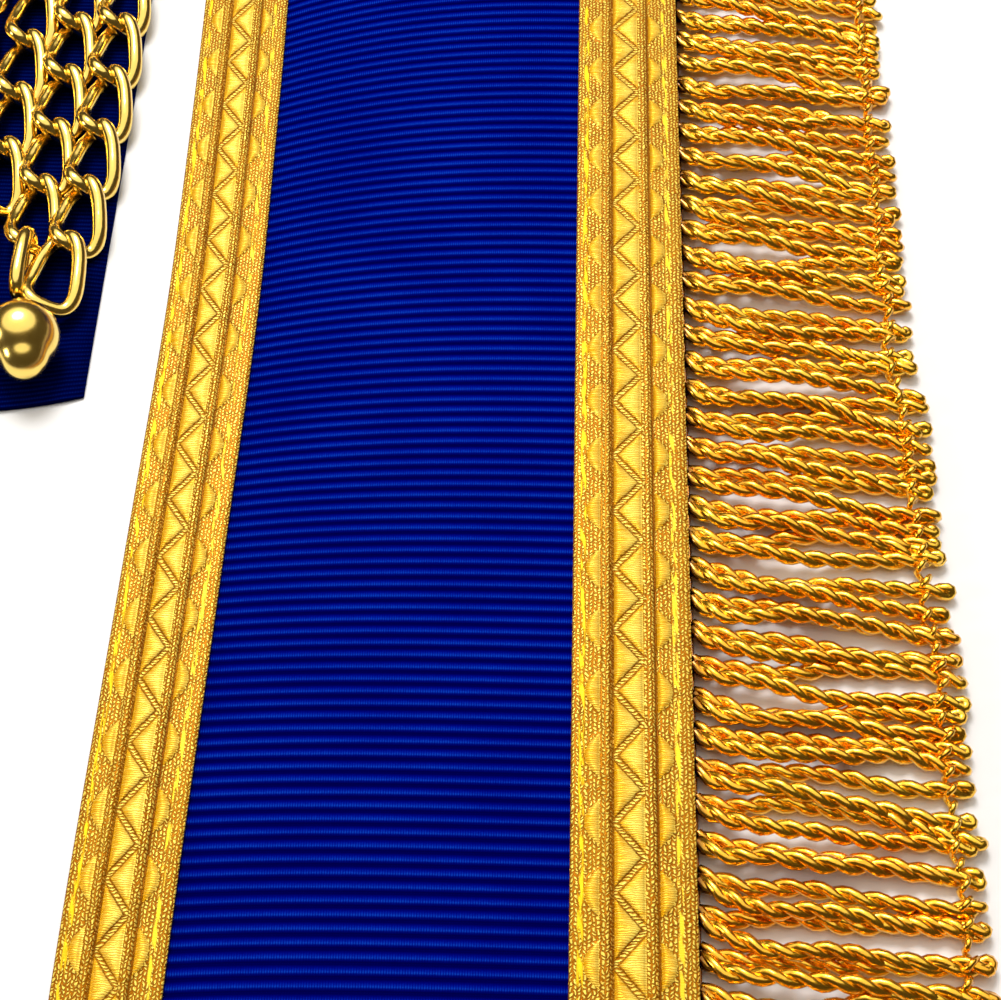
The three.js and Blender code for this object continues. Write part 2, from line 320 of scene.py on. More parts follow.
def make_mottling():
    tree, (scale, detail), leaving = start_group("mottling", ["Scale", "Detail"], ["Mottling"])
    values = {"Scale": scale, "Detail": detail, "Vector": object_place(tree)}
    feed(tree, leaving.inputs["Mottling"], add_node(tree, "TexNoise", values).outputs["Fac"])
    return tree


MOTTLING = make_mottling()


def noise_in_space(tree, scale, detail=2.0):
    """Mottling at a number of lumps to the metre."""
    return place_group(tree, MOTTLING, scale, detail)[0]


print("node groups:", [group.name for group in bpy.data.node_groups])

# %% [markdown]
# ## Flat woven strips
# Ribbon and braid are strips with mitred ends. A plane could be displaced by a texture, but the
# mitre would then cut through stretched faces. Here a grid is laid out flat, cut with bisect
# planes, and given a rim and a back while it is still flat. Only then is its face pushed up into
# ribs or figures, by one formula of the distance across and the distance along.

# %% Make a flat closed strip
RAISED = 1.0


def flat_strip(low, high, columns, rows, cuts=(), drift=None):
    """A closed strip between two corners: its face is at height 1 and its back at 0.

    The threads may drift along the strip before it is cut, so that the cuts stay straight."""
    bm = bmesh.new()
    bmesh.ops.create_grid(bm, x_segments=columns, y_segments=rows, size=0.5)
    bmesh.ops.scale(bm, vec=(high[0] - low[0], high[1] - low[1], 1), verts=bm.verts)
    middle = ((low[0] + high[0]) / 2, (low[1] + high[1]) / 2, RAISED)
    bmesh.ops.translate(bm, vec=middle, verts=bm.verts)
    if drift:
        for vert in bm.verts:
            vert.co.y += drift(vert.co)
    for point, normal in cuts:
        cut = {"plane_co": point, "plane_no": normal, "dist": 1e-7, "clear_outer": True}
        bmesh.ops.bisect_plane(bm, geom=bm.verts[:] + bm.edges[:] + bm.faces[:], **cut)
    rim = [edge for edge in bm.edges if edge.is_boundary]
    skirt = bmesh.ops.extrude_edge_only(bm, edges=rim)["geom"]
    lower = {item for item in skirt if isinstance(item, bmesh.types.BMVert)}
    bmesh.ops.translate(bm, vec=(0, 0, -RAISED), verts=list(lower))
    hem = [edge for edge in bm.edges if edge.verts[0] in lower and edge.verts[1] in lower]
    bmesh.ops.contextual_create(bm, geom=hem)
    bmesh.ops.recalc_face_normals(bm, faces=bm.faces)
    return bm


def smooth_object(mesh, name):
    mesh.shade_smooth()
    piece = bpy.data.objects.new(name, mesh)
    scene.collection.objects.link(piece)
    return piece


def as_object(bm, name):
    mesh = bpy.data.meshes.new(name)
    bm.to_mesh(mesh)
    bm.free()
    return smooth_object(mesh, name)


def points_of(mesh):
    places = np.empty(len(mesh.vertices) * 3)
    mesh.vertices.foreach_get("co", places)
    return places.reshape(-1, 3)


def set_points(mesh, places):
    mesh.vertices.foreach_set("co", places.astype(np.float32).ravel())
    mesh.update()


def raise_face(piece, places, top, back):
    """Move a strip's face and its back to their heights."""
    places[:, 2] = np.where(places[:, 2] > RAISED / 2, top, back)
    set_points(piece.data, places)


def add_cloth_uv(mesh, across, along):
    """Store two values a point, across and along the cloth, as its UV map."""
    corners = np.empty(len(mesh.loops), dtype=np.int32)
    mesh.loops.foreach_get("vertex_index", corners)
    layer = mesh.uv_layers.new(name="cloth")
    pairs = np.stack([across[corners], along[corners]], axis=1)
    layer.data.foreach_set("uv", pairs.astype(np.float32).ravel())


def finish_piece(piece, material, node):
    """Give a piece its material, hang it on the root body, and hide the plain solid that it stands
    for.
    """
    piece.data.materials.append(material)
    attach(piece, "root")
    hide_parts(node)
    return piece


# %% [markdown]
# The three sides of the border share one description: which way is outwards from the panel's
# edge, which way the strip runs, and the two mitre planes that bound it.

# %% Describe the three sides
# How far the cloth sways, how far up, and over what length, in millimetres
SWAYS = ((1.65, 108, 68), (-0.75, 250, 38), (0.9, 345, 30))
SWAY_FROM, SWAY_SOFTNESS = 21 * MM, 60 * MM
SWAY_TO, SWAY_END = 135 * MM, 30 * MM


def ease(share):
    """A share from 0 to 1 that starts and stops gently."""
    return share * share * (3 - 2 * share)


class Side:
    """One side of the apron, with the cloth's own directions on it."""

    def __init__(self, name):
        self.name = name
        self.lies_across = name == "bottom"
        self.sign = -1 if name == "left" else 1
        self.faces = {"right": 0.0, "left": math.pi, "bottom": -math.pi / 2}[name]
        right, left = (EDGE_X, FOOT_Y, 0), (-EDGE_X, FOOT_Y, 0)
        self.cuts = {
            "right": [(right, (-1, -1, 0))],
            "left": [(left, (1, -1, 0))],
            "bottom": [(right, (1, 1, 0)), (left, (-1, 1, 0))],
        }[name]

    def corners(self, near, far):
        """The strip's rectangle between two distances in from the panel's edge."""
        if self.lies_across:
            return (-EDGE_X, FOOT_Y + near), (EDGE_X, FOOT_Y + far)
        across = sorted((self.sign * (EDGE_X - near), self.sign * (EDGE_X - far)))
        return (across[0], FOOT_Y), (across[1], BORDER_TOP)

    def grid(self, near, far, across_count, along_count):
        counts = (across_count, along_count)[:: -1 if self.lies_across else 1]
        return flat_strip(*self.corners(near, far), *counts, self.cuts)

    def place(self, out, along, height=0.0):
        """A point outside the panel's edge."""
        if self.lies_across:
            return along - EDGE_X, FOOT_Y - out, height
        return self.sign * (EDGE_X + out), FOOT_Y + along, height

    def sway(self, places):
        """Move the cloth a little sideways, as a long strip never lies quite straight."""
        from_edge = EDGE_X - np.abs(places[:, 0])
        height = (places[:, 1] - FOOT_Y) / MM
        amount = sum(size * np.exp(-(((height - up) / span) ** 2)) for size, up, span in SWAYS)
        weight = ease(np.clip((from_edge - SWAY_FROM) / SWAY_SOFTNESS, 0, 1))
        weight *= np.clip((SWAY_TO - from_edge) / SWAY_END, 0, 1)
        places[:, 0] -= np.sign(places[:, 0]) * amount * MM * weight

    def across(self, places):
        """Distance in from the panel's edge."""
        return places[:, 1] - FOOT_Y if self.lies_across else EDGE_X - self.sign * places[:, 0]

    def along(self, places):
        """Distance along the strip, from the foot of the apron or from its left end."""
        return places[:, 0] + EDGE_X if self.lies_across else places[:, 1] - FOOT_Y

    def length(self):
        return 2 * EDGE_X if self.lies_across else BORDER_TOP - FOOT_Y


SIDES = [Side("right"), Side("left"), Side("bottom")]
print("side lengths", [round(side.length(), 4) for side in SIDES])

# %% [markdown]
# ## The ribbed ribbon
# The border is grosgrain: thick ribs that run across the ribbon, with a deep dark valley between
# each pair. Ribs as a bump texture would vanish at the low camera angle, and the valleys would
# lose their shadows, so every rib here is real: six rows of faces, on a rounded profile. The ribbon
# was pulled a little as it was sewn on, so the ribs' inner ends trail down the ribbon.

# %% Make the border ribbons
RIB_PITCH = 2.35 * MM
ROWS_PER_RIB = 6
RIB_RELIEF = 0.55 * MM
RIBBON_COLUMNS = 18
TRAIL_SPARE = 16 * MM
TRAIL_STARTS, TRAIL_SPAN = 21 * MM, 63 * MM
WAIST_PULL_FROM, WAIST_PULL_SOFTNESS = 172, 12


def rib_profile(phase):
    """The height of a row of rounded ribs, from 0 in a valley to 1 on a crest."""
    return np.abs(np.sin(np.pi * phase)) ** 0.75


def rib_trail(from_edge, along):
    """How far the ribs trail down the ribbon, most at its inner edge and near the waist."""
    share = np.clip((from_edge - TRAIL_STARTS) / TRAIL_SPAN, 0, 1.3)
    waist_pull = np.logaddexp(0, (along / MM - WAIST_PULL_FROM) / WAIST_PULL_SOFTNESS)
    near_foot = np.clip(along / (90 * MM), 0, 1)
    return (1.5 * share**3.5 + 0.78 * waist_pull * share**2.2) * MM * near_foot


def make_border_ribbon(side):
    spare = 0 if side.lies_across else TRAIL_SPARE
    ribs = round((side.length() + spare) / RIB_PITCH)
    pitch = (side.length() + spare) / ribs
    counts = RIBBON_COLUMNS, ribs * ROWS_PER_RIB
    if side.lies_across:
        bm = side.grid(0, BORDER_WIDTH, *counts)
    else:
        low, (end_x, end_y) = side.corners(0, BORDER_WIDTH)
        cuts = [*side.cuts, ((0, BORDER_TOP, 0), (0, 1, 0))]
        drift = lambda place: -rib_trail(EDGE_X - abs(place.x), place.y - FOOT_Y)
        bm = flat_strip(low, (end_x, end_y + spare), *counts, cuts, drift)
    piece = as_object(bm, f"ribbed_ribbon_{side.name}")
    places = points_of(piece.data)
    across, along = side.across(places), side.along(places)
    if not side.lies_across:
        # Find where each point was woven, before the ribs trailed
        woven = along.copy()
        for _ in range(25):
            woven = along + rib_trail(across, woven)
        along = woven
    add_cloth_uv(piece.data, across / MM, along / pitch)
    side.sway(places)
    top = BORDER_HIGH.z - RIB_RELIEF * (1 - rib_profile(along / pitch))
    raise_face(piece, places, top, BORDER_LOW.z)
    return piece


# %% [markdown]
# The ribbon's colour is a saturated royal blue. Light and shade are painted into it: painted almost
# black in the valleys and lighter on the near flank of each rib. On the crests, the fine binding
# threads that cross each rib show as rows of small painted highlights.

# %% Finish for the ribbed ribbon
def make_rib_weave():
    """How much painted light and shade each point of a ribbed cloth gets, and the height of its
    threads.

    Across is in millimetres, ribs are counted along, and pitch and dot are in millimetres."""
    tree, inputs, leaving = start_group(
        "rib_weave", ["Across", "Ribs", "Pitch", "Dot"], ["Brightness", "Thread Height"]
    )
    across, ribs, pitch, dot = inputs
    rise = ribs.fraction()
    along = ribs * pitch
    grain = noise(tree, across * 1.6, along * 2.6, 4.0)
    cloudy = noise(tree, across * 0.05, along * 0.05)
    thread = (across + 0.1 * noise(tree, across * 0.3, along * 0.3)).hump(dot)
    # Painted light and shade: the near flank of each rib climbs out of the painted dark of the
    # valley quickly, and the far flank sinks slowly back into it
    flank = rise.spread(0.03, 0.29) * rise.spread(0.27, 0.82, 1.0, 0.0)
    # Painted highlights: small light specks on the binding threads, late in each rib before the
    # next valley
    painted_specks = rise.spread(0.84, 0.92) * rise.spread(0.94, 1.0, 1.0, 0.0) * thread.power(4.0) * 0.14
    lit = flank * grain.spread(0.2, 0.8, 0.8, 1.1) * cloudy.spread(0.3, 0.7, 0.9, 1.1)
    # The binding threads show as lighter painted dots where the painted light is strongest
    painted_light = lit * (0.62 + thread.power(2.0) * flank * 0.6) + painted_specks * grain
    feed(tree, leaving.inputs["Brightness"], painted_light)
    feed(tree, leaving.inputs["Thread Height"], thread * 0.6 + grain * 0.8)
    return tree


RIB_WEAVE = make_rib_weave()


def ribbon_material(name, deep, middle, bright, pitch, dot):
    """Ribbed cloth. Its map holds millimetres across, and ribs counted along."""
    material, tree, shader = principled(name, {"Roughness": 0.7, "Specular IOR Level": 0.0})
    across, ribs = map_coordinates(tree, "cloth")
    painted_light, height = place_group(tree, RIB_WEAVE, across, ribs, pitch, dot)
    # The colour runs from a painted shade, through a middle blue, to a painted highlight, following
    # the painted light of the weave
    lighter = blend(tree, painted_light.power(2.2), middle, bright)
    colour = blend(tree, painted_light.power(1.15), deep, lighter)
    dress(tree, shader, colour, height, 0.05 * MM, 0.6)
    return material


# The painted shade of the valleys, the middle blue, and the painted highlight of the lit flanks
BORDER_BLUES = (0.0, 0.0, 0.062), (0.0, 0.004, 0.48), (0.004, 0.052, 0.50)
BORDER_DOTS = 0.42
BLUE_RIBBON = ribbon_material("blue_ribbon", *BORDER_BLUES, RIB_PITCH / MM, BORDER_DOTS)
for side in SIDES:
    ribbon = make_border_ribbon(side)
    finish_piece(ribbon, BLUE_RIBBON, f"border_ribbon_{side.name}")
    flat = (BORDER_WIDTH, side.length())
    area = BORDER_WIDTH * (side.length() - BORDER_WIDTH * len(side.cuts) / 2)
    print(ribbon.name, len(ribbon.data.polygons), "faces")

# %% [markdown]
# ## The woven braid
# Gold lace is woven on a narrow loom: satin figures stand up as smooth lobes and triangles, two
# plaited cords run between them, a zigzag of small knots parts the triangles, and seed-like knots
# close each edge. A few soft masks describe the figure from the distance across and along. They
# raise the mesh and steer the material alike, so relief and colour agree.

# %% Describe the braid's figure
FIGURE_LENGTH = 12.0
BRAID_SHARES = 20.0
LEFT_FLAT, LEFT_BULGE = 4.7, 2.5
LEFT_CORD, LEFT_GROOVE = 5.75, 6.75
ZIGZAG_LEFT, ZIGZAG_RIGHT = 6.95, 12.0
RIGHT_CORD, RIGHT_GROOVE = 13.0, 13.95
RIGHT_FLAT, RIGHT_BULGE = 14.15, 2.6
LOBE_HALF_LENGTH = 4.1
KNOT_BAND = 0.52
ZIGZAG_SLANT = 0.78
BRAID_RELIEF = 0.9 * MM
BRAID_STEP = 0.42 * MM
BRAID_STEP_FAR = 0.7 * MM


def rounded(distance, radius):
    """A soft shoulder that climbs from 0 at an edge to 1."""
    share = np.clip(distance / radius, 0, 1)
    return np.sqrt(share * (2 - share))


def braid_height(across, along):
    """The height of the braid's face, from 0 to 1, over its width in twentieths."""
    half = FIGURE_LENGTH / 2
    swing = half - np.abs((along % FIGURE_LENGTH) - half)
    line = ZIGZAG_LEFT + (ZIGZAG_RIGHT - ZIGZAG_LEFT) * swing / half
    off = np.abs(across - line) * ZIGZAG_SLANT - KNOT_BAND
    to_cord = np.where(across < line, across - ZIGZAG_LEFT, ZIGZAG_RIGHT - across)
    triangles = rounded(np.minimum(off, to_cord), 1.5)
    reach = np.clip(1 - (swing / LOBE_HALF_LENGTH) ** 2, 0, 1)
    left = np.minimum(across - (LEFT_FLAT - LEFT_BULGE * reach), LEFT_FLAT - across)
    right = np.minimum(RIGHT_FLAT + RIGHT_BULGE * reach - across, across - RIGHT_FLAT)
    lobes = rounded(np.maximum(left, right), 1.2)
    cords = rounded(0.95 - np.minimum(abs(across - LEFT_CORD), abs(across - RIGHT_CORD)), 0.8)
    seams = np.minimum(abs(across - LEFT_GROOVE), abs(across - RIGHT_GROOVE))
    groove = np.exp(-((seams / 0.27) ** 2))
    rim = rounded(np.minimum(across, BRAID_SHARES - across), 1.6)
    height = 0.32 + 0.5 * np.maximum(triangles, lobes) + 0.45 * cords - 0.35 * groove
    return np.clip(height, 0, 1) * (0.3 + 0.7 * rim)


# %% [markdown]
# A strip of braid is a fine grid, cut on the mitre, with its face raised by the figure. The strips
# on the right are seen closest, so they get the finest grid.

# %% Make the six strips of braid
def make_braid(side, which, near, far):
    step_size = BRAID_STEP if side.name == "right" else BRAID_STEP_FAR
    width = far - near
    bm = side.grid(near, far, round(width / step_size), round(side.length() / step_size))
    piece = as_object(bm, f"woven_braid_{side.name}_{which}")
    places = points_of(piece.data)
    # The figure faces the same way on both strips: its left edge is the one nearer the middle
    across = (far - side.across(places)) / width * BRAID_SHARES
    along = side.along(places) / MM
    add_cloth_uv(piece.data, across, along)
    side.sway(places)
    top = BRAID_HIGH.z - BRAID_RELIEF * (1 - braid_height(across, along))
    raise_face(piece, places, top, BRAID_LOW.z)
    return piece


# %% [markdown]
# The threads are flat metal-wrapped yarn. On the satin they lie side by side and gleam as one
# surface with fine lines in it; that gleam and the shade between the lines are painted. Elsewhere
# they make small slanting knots, painted lighter on top with painted shade in their gaps, and two
# rows of long floats, painted partly with their gleam, run near the edges. The material works the
# figure out again from the braid's own map, so its edges stay crisp.

# %% Finish for the braid
FLOAT_ROWS = ((1.2, 2.2), (16.9, 17.8))
KNOT_WIDTH, KNOT_LENGTH, ZIGZAG_KNOT = 0.7, 0.78, 0.58
SATIN_THREAD = 0.4
# Painted light and shade: the satin and the knots each have a shaded and a lit gold, and the gaps
# between threads, the pits and the seams are painted shade
SATIN_SHADE, SATIN_GLEAM = (0.74, 0.34, 0.002), (1.0, 0.78, 0.14)
THREAD_GAP_SHADE = (0.64, 0.29, 0.0)
KNOT_SHADE, KNOT_GLEAM = (0.36, 0.095, 0.0), (1.0, 0.76, 0.125)
# The floats' bright yellow is partly their own yarn and partly a painted gleam
PIT_SHADE, SEAM_SHADE, FLOAT_GLEAM = (0.09, 0.022, 0.0), (0.20, 0.045, 0.0), (1.0, 0.66, 0.015)
DEEPER_GOLD = (0.80, 0.36, 0.01)
BRAID_GLOSS = {
    "Roughness": 0.34,
    "Metallic": 0.25,
    "Specular IOR Level": 0.2,
    "Specular Tint": (1.0, 0.72, 0.15),
}


def braid_material():
    material, tree, shader = principled("gold_braid", BRAID_GLOSS)
    across, along = map_coordinates(tree, "cloth")
    wander = noise(tree, across * 0.8, along * 0.8, 1.0) - 0.5
    ragged = noise(tree, across * 0.4, along * 2.9, 1.0) - 0.5
    half = FIGURE_LENGTH / 2
    swing = along.zigzag(half)
    line = swing * ((ZIGZAG_RIGHT - ZIGZAG_LEFT) / half) + ZIGZAG_LEFT
    off = (across - line + wander * 0.35).absolute() * ZIGZAG_SLANT
    middle = across.within(ZIGZAG_LEFT, ZIGZAG_RIGHT, 0.15)
    triangles = middle * (off + ragged * 1.1).past(KNOT_BAND, 0.16)
    reach = (1.0 - (swing / LOBE_HALF_LENGTH).power(2.0)).spread(0, 1)
    left = (across + LEFT_BULGE * reach + ragged * 0.7).past(LEFT_FLAT, 0.2)
    left = left * (LEFT_FLAT - across).past(0, 0.15)
    right = (RIGHT_FLAT + RIGHT_BULGE * reach + ragged * 0.9 - across).past(0, 0.2)
    right = right * across.past(RIGHT_FLAT, 0.15)
    satin = triangles.largest(left.largest(right) * reach.past(0.06, 0.05))
    # Slanting knots in columns, a little irregular
    column = (across + wander * 0.9) / KNOT_WIDTH
    turn = (column.floor() / 2.0).fraction() * 4.0 - 1.0
    place = column.fraction()
    jumble = noise(tree, across * 1.1 + 7.0, along * 1.1, 1.0) - 0.5
    row = (along + jumble * 1.3) / KNOT_LENGTH + turn * 0.25 + turn * (place - 0.5) * 0.6
    knots = place.hump(1.0) * row.hump(1.0)
    # One row of round knots follows the zigzag
    zigzag_knots = (1.0 - (off / 0.56).power(2.0)).spread(0, 1) * (along + wander).hump(ZIGZAG_KNOT)
    zigzag_zone = middle * (KNOT_BAND + 0.12 - off).past(0, 0.1)
    weave = knots + zigzag_zone * (zigzag_knots - knots)
    # Long floats near both edges
    left_row, right_row = (across.within(*row, 0.2) for row in FLOAT_ROWS)
    strand = noise(tree, across * 1.3 + along * 0.12, along * 0.24, 1.0)
    floats = left_row.largest(right_row) * strand.spread(0.46, 0.58)
    seams = [(across - seam).absolute() for seam in (LEFT_GROOVE, RIGHT_GROOVE)]
    left_seam, right_seam = (seam.spread(0.1, 0.42, 1.0, 0.0) for seam in seams)
    groove = left_seam.largest(right_seam)
    # Satin threads lie across the braid
    thread = (along + wander * 0.6).hump(SATIN_THREAD)
    streak = noise(tree, across * 0.4, along * 3.8, 3.0)
    smooth_part = satin.largest(floats)
    rough = weave.spread(0.24, 0.8)
    height = rough * (1.0 - smooth_part) + smooth_part * (0.6 + thread * 0.26 * satin)
    height = height - groove * 0.6
    glow = noise(tree, across * 0.12, along * 0.1)
    # Painted light: every lobe is arched, so its right-hand flank is painted the brighter one
    painted_lobe_light = (across - ZIGZAG_LEFT) * (line - across).past(0, 0.2)
    painted_lobe_light = (painted_lobe_light + (across - line) * (across - line).past(0, 0.2)) * middle
    painted_lobe_light = painted_lobe_light + (across - LEFT_FLAT + LEFT_BULGE) * (LEFT_FLAT - across).past(0, 0.2)
    painted_lobe_light = painted_lobe_light + (across - RIGHT_FLAT) * across.past(RIGHT_FLAT, 0.2)
    lit = (streak.spread(0.3, 0.7, -0.35, 0.45) + painted_lobe_light.spread(0.2, 3.2, 0.0, 0.9)).spread(0, 1)
    # Painted light: the satin is blended from a shaded to a lit copy of its gold, with painted
    # shade between its threads
    satin_tone = blend(tree, lit, SATIN_SHADE, SATIN_GLEAM)
    satin_tone = blend(tree, thread.spread(0.0, 0.6), THREAD_GAP_SHADE, satin_tone)
    # Painted light and shade on the knots: lighter on their tops, darker in their gaps
    knot_tone = blend(tree, rough, KNOT_SHADE, KNOT_GLEAM)
    # Painted shade in the pits between the knots
    pit_shading = weave.spread(0.04, 0.3, 1.0, 0.0) * jumble.spread(0.0, 0.12)
    knot_tone = blend(tree, pit_shading * 0.85, knot_tone, PIT_SHADE)
    tone = blend(tree, smooth_part, knot_tone, satin_tone)
    # The floats are bright yellow, partly their own yarn and partly a painted gleam
    tone = blend(tree, floats * 0.8, tone, FLOAT_GLEAM)
    # Painted shade in the grooves beside the cords and along the triangles' edges
    outline = (off - KNOT_BAND - 0.06).absolute().spread(0.05, 0.24, 1.0, 0.0) * middle
    dark = groove.largest(outline * ragged.spread(-0.25, 0.1, 0.35, 0.9))
    tone = blend(tree, dark * 0.9, tone, SEAM_SHADE)
    tone = blend(tree, glow.spread(0.35, 0.7, 0.0, 0.2), tone, DEEPER_GOLD)
    dress(tree, shader, tone, height, 0.14 * MM)
    return material


GOLD_BRAID = braid_material()
OUTER_BRAID = BRAID_HIGH.x - BRAID_LOW.x
INNER_LOW, INNER_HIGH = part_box("braid_right_inner")
INNER_BRAID = INNER_HIGH[0] - INNER_LOW[0]
for side in SIDES:
    for which, near, far in (
        ("outer", 0, OUTER_BRAID),
        ("inner", BORDER_WIDTH - INNER_BRAID, BORDER_WIDTH),
    ):
        braid = make_braid(side, which, near, far)
        finish_piece(braid, GOLD_BRAID, f"braid_{side.name}_{which}")
        print(braid.name, len(braid.data.polygons), "faces")

# %% [markdown]
# ## The bullion fringe
# Each cord is one glossy yarn, doubled and twisted on itself, so its free end closes in a small
# loop. A screw modifier could twist a tube, but here each cord is one spline with a round bevel:
# it runs out as the first ply, turns at the tip, and comes back as the second, half a turn behind.
# An upper row lies over a lower row, and neighbours lean on each other in loose groups.

# %% Work out one cord
FRINGE_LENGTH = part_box("fringe_right")[1][0] - EDGE_X
CORD_SPACING = 3.25 * MM
PLY_RADIUS = 0.96 * MM
PLY_OFFSET = 0.78 * MM
TWIST_LENGTH = 9.4 * MM
CORD_STEPS = 40
ROOT_OUTSIDE = 0.5 * MM
ROOT_SQUEEZE = 0.55
UNEVEN_LENGTH = (0.2, 2.2)
DIP = 4.1 * MM
LOWER_DIP = 2.4 * MM
# Each cord waves as it runs: how many waves it makes, and how far they reach in millimetres
WAVES = ((0.55, 1.7), (1.3, 0.7), (2.4, 0.3))
RIDE_OVER, ARCH = 1.9 * MM, 1.2 * MM
# The shares of a cord's length in which it dips, and in which it rises off the root
DIP_REACH, UPPER_RISE, LOWER_RISE = 0.085, 0.03, 0.05


def cord_centre(root, outward, sideways, layer, random, lean, extra):
    """The centre line of one cord, from under the braid to its tip."""
    t = np.linspace(0, 1, CORD_STEPS)
    length = FRINGE_LENGTH + extra - PLY_RADIUS - PLY_OFFSET - random.uniform(*UNEVEN_LENGTH) * MM
    out = ROOT_OUTSIDE + (length - ROOT_OUTSIDE) * t
    # The two rows dip by different amounts, and their roots are set so that they end up even
    even = (DIP - LOWER_DIP) / 2 * (1 if layer else -1)
    side = (DIP if layer else LOWER_DIP) * (1 - np.exp(-t / DIP_REACH)) - even
    side += lean * (0.4 * t + 0.6 * t**2)
    for waves, size in WAVES:
        waves *= random.uniform(0.8, 1.25)
        start = random.uniform(0, math.tau)
        wave = np.sin(math.tau * waves * t + start) - math.sin(start) * (1 - t) ** 2
        side += random.uniform(0.4, 1.0) * size * MM * wave * np.minimum(1, t / 0.25)
    radius = PLY_RADIUS + PLY_OFFSET
    if layer:
        ride_over = np.exp(-(((t - random.uniform(0.15, 0.35)) / 0.3) ** 2))
        z = radius + RIDE_OVER * ride_over + random.uniform(0, ARCH) * np.sin(math.pi * t) ** 2
        z = z * (1 - 0.2 * np.exp(-t / UPPER_RISE))
    else:
        z = radius * (1 - 0.2 * np.exp(-t / LOWER_RISE))
    points = root + outward * out[:, None] + sideways * side[:, None]
    points[:, 2] = z
    return points


def plies(centre, random):
    """Both plies of a doubled cord as one run of points, out and back round the tip."""
    unit = lambda rows: rows / np.linalg.norm(rows, axis=1)[:, None]
    tangent = unit(np.gradient(centre, axis=0))
    beside = unit(np.cross(tangent, (0.0, 0.0, 1.0)))
    above = np.cross(beside, tangent)
    steps = np.linalg.norm(np.diff(centre, axis=0), axis=1)
    travelled = np.concatenate([[0], np.cumsum(steps)])
    turn = math.tau * travelled / (TWIST_LENGTH * random.uniform(0.9, 1.08))
    turn = random.uniform(0, math.tau) - turn
    squeezed = 1 - ROOT_SQUEEZE * np.exp(-travelled / (1.6 * MM))
    ring = np.cos(turn)[:, None] * beside + np.sin(turn)[:, None] * above
    ring *= PLY_OFFSET * squeezed[:, None]
    bend = [
        centre[-1] + ring[-1] * math.cos(angle) + tangent[-1] * PLY_OFFSET * math.sin(angle)
        for angle in (math.pi / 4, math.pi / 2, 3 * math.pi / 4)
    ]
    return np.concatenate([centre + ring, bend, (centre - ring)[::-1]])


# %% [markdown]
# The cords hang at an even pitch, with a fan of extra cords round each lower corner. A stay thread
# is stitched round them near their tips, and a woven heading, painted dark with the shade under the
# braid, closes the gap at their roots.

# %% Lay out the cords of one side
CORNER_CORDS = 10
CORNER_FAN = math.radians(44)
EXTRA_AT_FOOT, EXTRA_BELOW, EXTRA_OVER = 3.5 * MM, 265 * MM, 90 * MM
DRIFT = 2.2 * MM
GROUP_LEAN = 0.95 * MM
SIDEWAYS_SPREAD = 0.6 * MM
STAY_THREAD = 0.58 * MM
STAY_PLACE = 39.9 * MM
STAY_HEIGHT, STITCH_RISE, STITCH_REACH = 2.2, 1.4, 0.75
STITCH_LENGTH = 3.3 * MM
STITCH_STEPS = 7
HEADING_THREADS = (0.35, 0.9, 1.45)
HEADING_THREAD = 0.32 * MM
HEADING_OUTSIDE = 0.3 * MM


def fringe_roots(side):
    """Where each cord of a side starts, and how far it is turned, with a fan at each corner."""
    count = round(side.length() / CORD_SPACING)
    for index in range(count):
        yield (index + 0.5) * side.length() / count, 0.0
    for index in range(CORNER_CORDS):
        turn = CORNER_FAN * (index + 0.5) / CORNER_CORDS
        yield 0.0, -turn
        if side.lies_across:
            yield side.length(), turn


def fringe_extra(side, along):
    """The fringe grows a little longer towards the foot of the apron."""
    if side.lies_across:
        return EXTRA_AT_FOOT
    return EXTRA_AT_FOOT * float(np.clip((EXTRA_BELOW - along) / EXTRA_OVER, 0, 1))


def direction(angle):
    return np.array([math.cos(angle), math.sin(angle), 0.0])


def make_fringe(side):
    random = np.random.default_rng(SEED + SIDES.index(side))
    curve = bpy.data.curves.new(f"bullion_{side.name}", "CURVE")
    curve.dimensions = "3D"
    curve.bevel_depth = PLY_RADIUS
    curve.bevel_resolution = 2 if side.name == "right" else 1
    curve.use_fill_caps = True
    phases = random.uniform(0, math.tau, 3)
    # The cords of the two sides sag towards the foot, and those of the foot drift to one side
    quarter_turn = -math.pi / 2 if side.name == "right" else math.pi / 2
    for index, (along, turn) in enumerate(fringe_roots(side)):
        angle = side.faces + side.sign * turn
        group = math.sin(index * 0.43 + phases[0]) + 0.7 * math.sin(index * 0.97 + phases[1])
        lean = DRIFT + GROUP_LEAN * group + random.normal(0, 1) * SIDEWAYS_SPREAD
        if turn:
            lean *= 0.15
        elif not side.lies_across:
            lean *= min(1.0, along / (45 * MM))
        root = np.array(side.place(0.0, along))
        ways = direction(angle), direction(angle + quarter_turn)
        centre = cord_centre(root, *ways, index % 2, random, lean, fringe_extra(side, along))
        add_spline(curve, plies(centre, random))
    add_spline(curve, stay_thread(side, random), STAY_THREAD / PLY_RADIUS)
    for height in HEADING_THREADS:
        ends = [side.place(HEADING_OUTSIDE, end, height * MM) for end in (0, side.length())]
        add_spline(curve, np.array(ends), HEADING_THREAD / PLY_RADIUS)
    return mesh_from_curve(curve, f"bullion_fringe_{side.name}")


def stay_thread(side, random):
    """A thread that is stitched round the cords near their tips, which keeps them in order."""
    run = []
    steps = round(side.length() / STITCH_LENGTH) * STITCH_STEPS
    wobble = 0.0
    for index in range(steps + 1):
        along = side.length() * index / steps
        turn = math.tau * index / STITCH_STEPS
        wobble = 0.9 * wobble + random.normal(0, 0.22)
        out = STAY_PLACE + fringe_extra(side, along) + (STITCH_REACH * math.sin(turn) + wobble) * MM
        along += 0.4 * MM * math.sin(2 * turn)
        run.append(side.place(out, along, (STAY_HEIGHT + STITCH_RISE * math.cos(turn)) * MM))
    return np.array(run)


